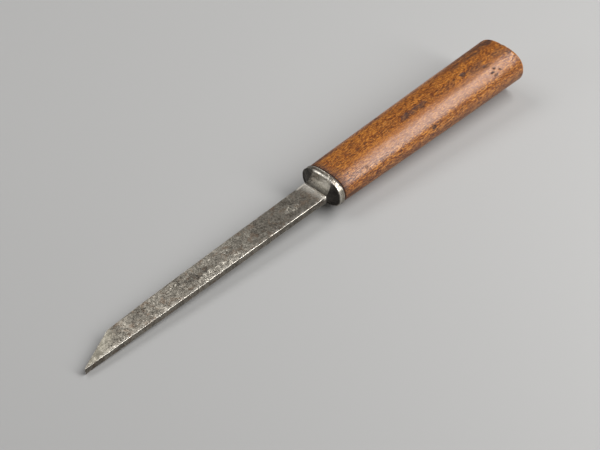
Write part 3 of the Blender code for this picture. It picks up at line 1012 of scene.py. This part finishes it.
def iron_look(name, tones):
    """Old dark iron or steel: patina, ground areas, dirt and painted shade, and rubbed edges and painted
    highlights on top.
    """
    look = Look(name)
    at = look.field("tool", "Vector")
    wear_and_highlight, grime_and_shade, worn, ground = (look.field(label) for label in ("wear_and_highlight", "grime_and_shade", "worn", "ground"))
    patches = look.noise(at, 10.0, 3.0, 0.55, 0.5)
    mottle = look.noise(at, 2.4, 5.0, 0.68, 0.9)
    speck = look.noise(at, 0.8, 3.0, 0.6)
    fine = look.noise(at, 0.3, 2.0, 0.5)
    scratches = look.noise(look.squeeze(at, (0.07, 1.0, 1.0), (0.0, 0.0, 0.9)), 0.3, 2.0, 0.5)
    streaks = look.noise(look.drawn_out(at, 0.05), 0.35, 2.0, 0.55)
    tone = look.total((patches, 0.25), (mottle, 0.45), (speck, 0.30), (worn, 0.15))

    colour = patina(look, at, tone, tones, worn)
    polished = look.step(look.total((mottle, 0.6), (streaks, 0.4)), 0.42, 0.58)
    colour = look.blend(ground, colour, look.blend(polished, GROUND_DARK, GROUND_LIGHT))
    # darker with dirt, and with painted shade
    colour = look.blend(look.step(grime_and_shade, 0.1, 0.9, 0.0, 0.92), colour, METAL_DIRT_AND_SHADE)
    # bare rubbed metal, and painted highlights
    bright = look.times(wear_and_highlight, look.step(speck, 0.30, 0.55, 0.6, 1.0))
    colour = look.blend(bright, colour, BARE_METAL_AND_HIGHLIGHT)

    dull = look.step(tone, 0.42, 0.60, 0.50, 0.34)
    rough = look.total((dull, 1.0), (bright, -0.08), (grime_and_shade, 0.2), (ground, -0.04))
    metal = look.step(grime_and_shade, 0.2, 1.0, 0.95, 0.6)
    uneven = look.work_out("SUBTRACT", 1.0, look.times(ground, 0.8))
    relief = look.bump(look.times(tone, uneven), 0.22, 0.8)
    relief = look.bump(fine, 0.04, 0.6, relief)
    relief = look.bump(streaks, 0.05, 0.5, relief)
    relief = look.bump(scratches, 0.04, 0.5, relief)
    look.wire(Base_Color=colour, Roughness=rough, Metallic=metal, Normal=relief)
    return look.material


def end_grain(look, at):
    """Growth rings, with pores scattered between them."""
    shift = {"Vector": at, "Location": PITH, "Scale": (0.02, 1.0, 1.0)}
    from_pith = look.add("ShaderNodeMapping", shift).outputs[0]
    rings = {"Vector": from_pith, "Scale": 0.14, "Distortion": 2.5, "Detail": 3.0, "Detail Scale": 0.6}
    growth = look.add("ShaderNodeTexWave", rings, wave_type="RINGS", rings_direction="X").outputs["Fac"]
    speckle = look.cells(look.squeeze(at, (1.0, 1.0, 0.4)), 0.42)
    tone = look.total((growth, 0.35), (speckle, 0.65))
    return look.blend(look.step(tone, 0.20, 0.65), END_DARK, END_LIGHT)


def beech_look():
    """Oiled beech: figure, rays, pores and flecks along the handle, end grain on the butt, a polished band
    lightened partly as a painted highlight, and dirt and painted shade on top.
    """
    look = Look("beech")
    at = look.field("tool", "Vector")
    labels = ("wear_and_highlight", "grime_and_shade", "worn", "cut", "smooth")
    wear_and_highlight, grime_and_shade, worn, cut, smooth = (look.field(label) for label in labels)
    side = look.work_out("SUBTRACT", 1.0, cut)
    streaks = look.noise(look.drawn_out(at, 0.13), 0.38, 3.0, 0.6)
    bands = look.noise(look.drawn_out(at, 0.045), 2.8, 3.0, 0.5, 0.3)
    curl = look.noise(look.squeeze(at, (0.8, 0.6, 0.6)), 0.8, 3.0, 0.6, 0.5)
    blotch = look.noise(look.drawn_out(at, 0.5), 9.0, 3.0, 0.6)
    flecks = look.noise(look.drawn_out(at, 0.26), 0.75, 4.0, 0.7, 0.5)
    rays = look.cells(look.drawn_out(at, 0.34), 0.55)
    rays = look.step(look.work_out("ADD", rays, look.times(curl, 0.6)), 0.62, 0.46)
    pores = look.step(look.cells(look.drawn_out(at, 0.22), 0.9), 0.26, 0.16)
    tone = look.total((streaks, 0.55), (curl, 0.30), (bands, 0.15))

    colour = look.tinted(tone, (0.44, 0.50, 0.56), BEECH_TONES)
    colour = look.blend(look.step(blotch, 0.50, 0.68, 0.0, 0.4), colour, BEECH_BLOTCH)
    colour = look.blend(look.times(look.times(rays, side), 0.70), colour, BEECH_RAY)
    colour = look.blend(look.times(pores, 0.85), colour, BEECH_PORE)
    share = look.times(look.step(worn, 0.0, 1.0, 0.35, 0.85), side)
    light_flecks = look.times(look.step(flecks, 0.53, 0.60), share)
    dark_flecks = look.times(look.step(flecks, 0.48, 0.41), share)
    colour = look.blend(look.times(light_flecks, 0.75), colour, LIGHT_FLECK)
    colour = look.blend(look.times(dark_flecks, 0.70), colour, DARK_FLECK)
    # polished band, lightened partly as a painted highlight
    colour = look.blend(look.times(smooth, 0.5), colour, POLISHED_BEECH_AND_HIGHLIGHT)
    colour = look.blend(look.times(cut, 0.8), colour, end_grain(look, at))
    broken = look.step(look.noise(at, 1.4, 3.0, 0.6), 0.35, 0.6, 0.7, 1.0)
    # dirt, and painted shade on the far edge and the lower near side
    colour = look.blend(look.times(grime_and_shade, broken), colour, WOOD_DIRT_AND_SHADE)
    rubbed = look.times(wear_and_highlight, look.step(blotch, 0.35, 0.6, 0.1, 0.5))
    colour = look.blend(rubbed, colour, RUBBED_BEECH)

    shine = look.step(tone, 0.40, 0.60, 0.36, 0.29)
    rough = look.total((shine, 1.0), (rays, 0.06), (pores, 0.15), (grime_and_shade, 0.30), (worn, -0.03), (cut, 0.25))
    relief = look.bump(tone, 0.09, 0.9)
    relief = look.bump(flecks, 0.06, 0.7, relief)
    relief = look.bump(rays, 0.02, -0.5, relief)
    relief = look.bump(pores, 0.06, -0.8, relief)
    look.wire(Base_Color=colour, Roughness=rough, Normal=relief)
    return look.material


def leather_look():
    look = Look("leather")
    at = look.field("tool", "Vector")
    grain = look.cells(at, 0.5)
    look.wire(
        Base_Color=look.blend(look.noise(at, 1.5), LEATHER_DARK, LEATHER_LIGHT),
        Roughness=look.step(grain, 0.0, 0.6, 0.85, 0.6),
        Normal=look.bump(grain, 0.08, 0.8),
    )
    return look.material


# ---------------------------------------------------------------- stage


# Lengths from here on are in metres
FLOOR_HALF = 2.5
FLOOR_COLOUR = (0.52, 0.515, 0.505, 1.0)
FLOOR_ROUGHNESS = 0.6
WORLD_COLOUR = (0.95, 0.97, 1.0, 1.0)
WORLD_STRENGTH = 0.09
LAMPS = (
    # name, direction from the frame's origin, distance, width and length, radiance, axis of the length
    ("right_softbox", (0.52, -0.50, 0.70), 1.1, (0.30, 1.7), 9.8, (0, 1, 0)),
    ("back_softbox", (-0.06, 0.64, 0.76), 1.2, (0.45, 0.8), 3.2, (1, 0, 0)),
    ("left_softbox", (-0.86, 0.45, 0.30), 1.2, (0.5, 0.6), 1.8, (0, 0, 1)),
)
VIEW_AZIMUTH = math.radians(-44.8)
VIEW_ELEVATION = math.radians(42.65)
VIEW_DISTANCE = 0.85
VIEW_AIM = (157.4 * MM, 3.1 * MM)  # from the tool's origin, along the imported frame's x and y
LENS = 90.0  # millimetres, like the sensor
SENSOR_WIDTH = 36.0


def studio_floor():
    mesh = bpy.data.meshes.new("floor")
    corners = [(x * FLOOR_HALF, y * FLOOR_HALF, 0) for x, y in ((-1, -1), (1, -1), (1, 1), (-1, 1))]
    mesh.from_pydata(corners, [], [(0, 1, 2, 3)])
    floor = bpy.data.objects.new("floor", mesh)
    bpy.context.scene.collection.objects.link(floor)
    look = Look("floor")
    look.shader.inputs["Base Color"].default_value = FLOOR_COLOUR
    look.shader.inputs["Roughness"].default_value = FLOOR_ROUGHNESS
    mesh.materials.append(look.material)


def soft_light(name, direction, distance, size, radiance, long_axis):
    """A rectangular lamp facing the object, whose brightness doesn't depend on its size."""
    lamp = bpy.data.lights.new(name, "AREA")
    lamp.shape = "RECTANGLE"
    lamp.size, lamp.size_y = size
    lamp.energy = radiance * math.pi * size[0] * size[1]
    away = Vector(direction).normalized()
    side = Vector(long_axis).cross(away).normalized()
    body = bpy.data.objects.new(name, lamp)
    body.location = away * distance
    body.rotation_euler = Matrix((side, away.cross(side), away)).transposed().to_euler()
    bpy.context.scene.collection.objects.link(body)


def studio():
    scene = bpy.context.scene
    world = bpy.data.worlds.new("studio")
    world.use_nodes = True
    background = world.node_tree.nodes["Background"]
    background.inputs["Color"].default_value = WORLD_COLOUR
    background.inputs["Strength"].default_value = WORLD_STRENGTH
    scene.world = world
    scene.view_settings.view_transform = "Standard"
    for lamp in LAMPS:
        soft_light(*lamp)


def camera():
    """A camera at the photo's viewing angle."""
    aim = Vector((ORIGIN.x + VIEW_AIM[0], ORIGIN.y + VIEW_AIM[1], 0.0))
    level = math.cos(VIEW_ELEVATION)
    rise = math.sin(VIEW_ELEVATION)
    back = Vector((math.sin(VIEW_AZIMUTH) * level, -math.cos(VIEW_AZIMUTH) * level, rise))
    lens = bpy.data.cameras.new("camera")
    lens.lens = LENS
    lens.sensor_width = SENSOR_WIDTH
    body = bpy.data.objects.new("camera", lens)
    body.location = aim + back * VIEW_DISTANCE
    body.rotation_euler = back.to_track_quat("Z", "Y").to_euler()
    bpy.context.scene.collection.objects.link(body)
    bpy.context.scene.camera = body


# ---------------------------------------------------------------- build

camera()
studio()
studio_floor()
iron_forging(iron_look("forged_iron", IRON_TONES))
laid_steel(iron_look("cutting_steel", STEEL_TONES))
washer(leather_look())
handle(beech_look())
